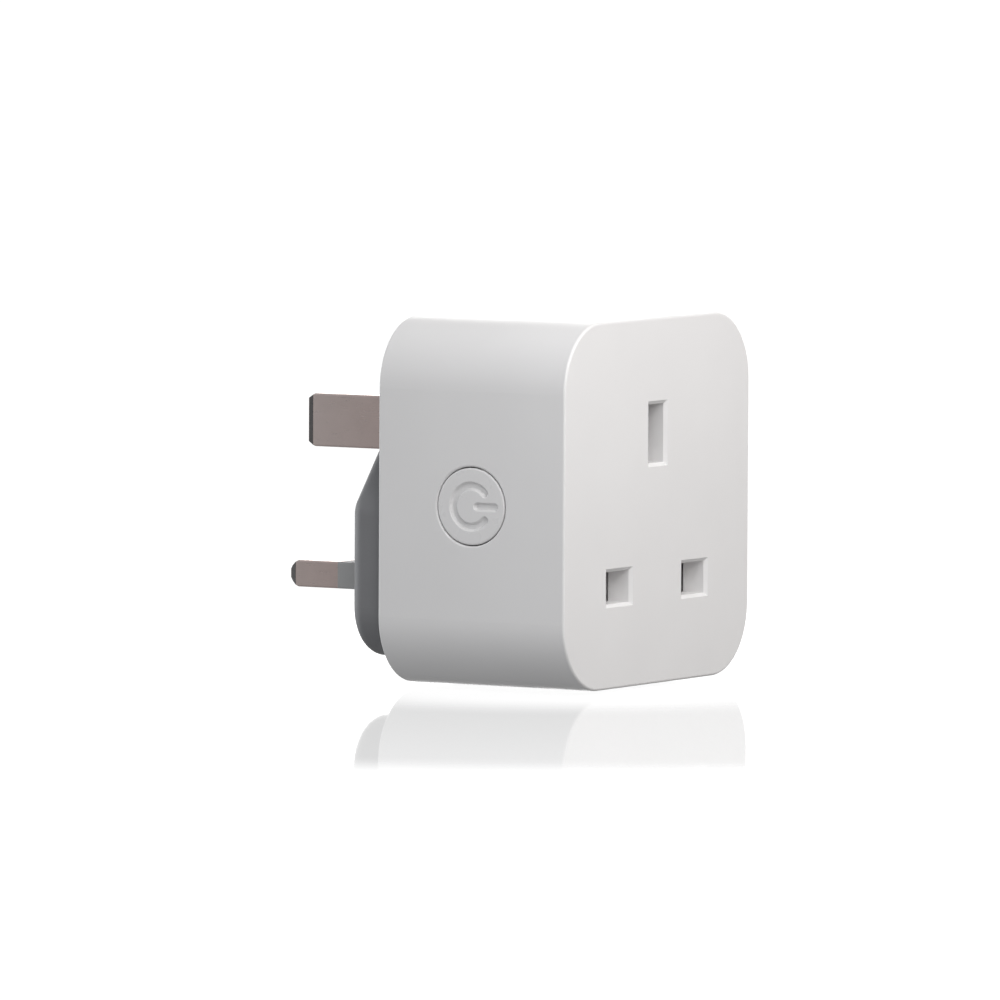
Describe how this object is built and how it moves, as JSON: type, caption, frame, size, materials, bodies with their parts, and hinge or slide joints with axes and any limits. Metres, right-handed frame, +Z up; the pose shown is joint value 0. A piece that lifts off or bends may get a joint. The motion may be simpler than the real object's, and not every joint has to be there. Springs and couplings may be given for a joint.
{
  "type": "plug in power meter",
  "caption": "Plug-through power meter: rounded white case, flat-pin socket face with shutter, side power button, and grey rear boss with plug pins.",
  "frame": {"origin": "centre of the flat underside of the case, on the surface that it stands on", "axes": "+Z up, -Y out of the socket face, +Y out of the plug face along the pins, button on the -X side"},
  "size_m": [0.0546, 0.0598, 0.0545],
  "materials": {
    "shell_white": "satin",
    "button_white": "satin",
    "shutter_white": "satin",
    "cover_grey": "matt moulded",
    "sleeve_grey": "matt",
    "pin_metal": "satin nickel plate",
    "screw_steel": "zinc plated",
    "spring_steel": "bright",
    "contact_brass": "bright strip",
    "busbar_tin": "tinned",
    "shunt_manganin": "matt alloy",
    "carrier_plastic": "matt",
    "light_guide": "translucent",
    "board_green": "solder mask",
    "board_blue": "solder mask",
    "chip_black": "moulded epoxy",
    "can_aluminium": "bright",
    "film_yellow": "moulded",
    "varistor_blue": "lacquered",
    "resistor_green": "lacquered",
    "ferrite": "sintered",
    "fuse_shell": "satin",
    "shield_tin": "tin plated",
    "pin_gold": "gold flash",
    "relay_blue": "moulded",
    "relay_black": "moulded",
    "bobbin_white": "moulded",
    "winding_copper": "enamelled",
    "relay_steel": "nickel plated",
    "relay_copper": "bright strip",
    "switch_black": "moulded",
    "plunger_black": "moulded",
    "led_clear": "clear epoxy"
  },
  "bodies": {
    "case": {"front_shell": "shell_white", "rear_cover": "cover_grey", "case_screws": "screw_steel", "earth_pin": "pin_metal", "line_pin": "pin_metal", "neutral_pin": "pin_metal", "line_pin_sleeve": "sleeve_grey", "neutral_pin_sleeve": "sleeve_grey", "tact_switch_body": "switch_black", "status_led": "led_clear", "switch_board": "board_green", "switch_board_pins": "pin_gold", "shutter_spring": "spring_steel", "contact_carrier": "carrier_plastic", "carrier_screws": "screw_steel", "line_contact": "contact_brass", "neutral_contact": "contact_brass", "earth_contact": "contact_brass", "earth_link": "contact_brass", "neutral_busbar": "busbar_tin", "line_busbar": "busbar_tin", "load_busbar": "busbar_tin", "current_shunt": "shunt_manganin", "main_board": "board_green", "board_screws": "screw_steel", "bulk_capacitors": "can_aluminium", "output_capacitor": "can_aluminium", "film_capacitor": "film_yellow", "varistor": "varistor_blue", "fusible_resistor": "resistor_green", "filter_inductor": "ferrite", "thermal_fuse": "fuse_shell", "metering_chip": "chip_black", "supply_chip": "chip_black", "bridge_rectifier": "chip_black", "radio_board": "board_blue", "radio_shield": "shield_tin", "radio_pins": "pin_gold", "relay_cover": "relay_blue", "relay_base": "relay_black", "relay_pins": "busbar_tin", "relay_bobbin": "bobbin_white", "relay_winding": "winding_copper", "relay_yoke": "relay_steel", "relay_fixed_contact": "relay_copper"},
    "button": {"power_button": "button_white", "button_light_guide": "light_guide"},
    "switch_plunger": {"tact_switch_plunger": "plunger_black"},
    "shutter": {"socket_shutter": "shutter_white"},
    "relay_armature": {"relay_armature": "relay_steel", "relay_contact_leaf": "relay_copper"}
  },
  "joints": [
    {"name": "button_press", "type": "slide", "parent": "case", "child": "button", "axis": [1, 0, 0], "range_m": [0, 0.0005], "stiffness_N_per_m": 1500, "springref_m": -0.0002},
    {"name": "switch_press", "type": "slide", "parent": "case", "child": "switch_plunger", "axis": [1, 0, 0], "range_m": [0, 0.0005]},
    {"name": "shutter_slide", "type": "slide", "parent": "case", "child": "shutter", "axis": [0, 0, -1], "range_m": [0, 0.006], "stiffness_N_per_m": 60, "springref_m": -0.003, "deforming": ["shutter_spring"]},
    {"name": "armature_rock", "type": "hinge", "parent": "case", "child": "relay_armature", "pos_m": [0.0118, -0.0019, 0.0356], "axis": [1, 0, 0], "range_deg": [0, 4], "stiffness_Nm_per_rad": 0.02, "springref_deg": -2.01}
  ],
  "couplings": [
    {"joint": "switch_press", "follows": "button_press", "ratio": 1}
  ]
}
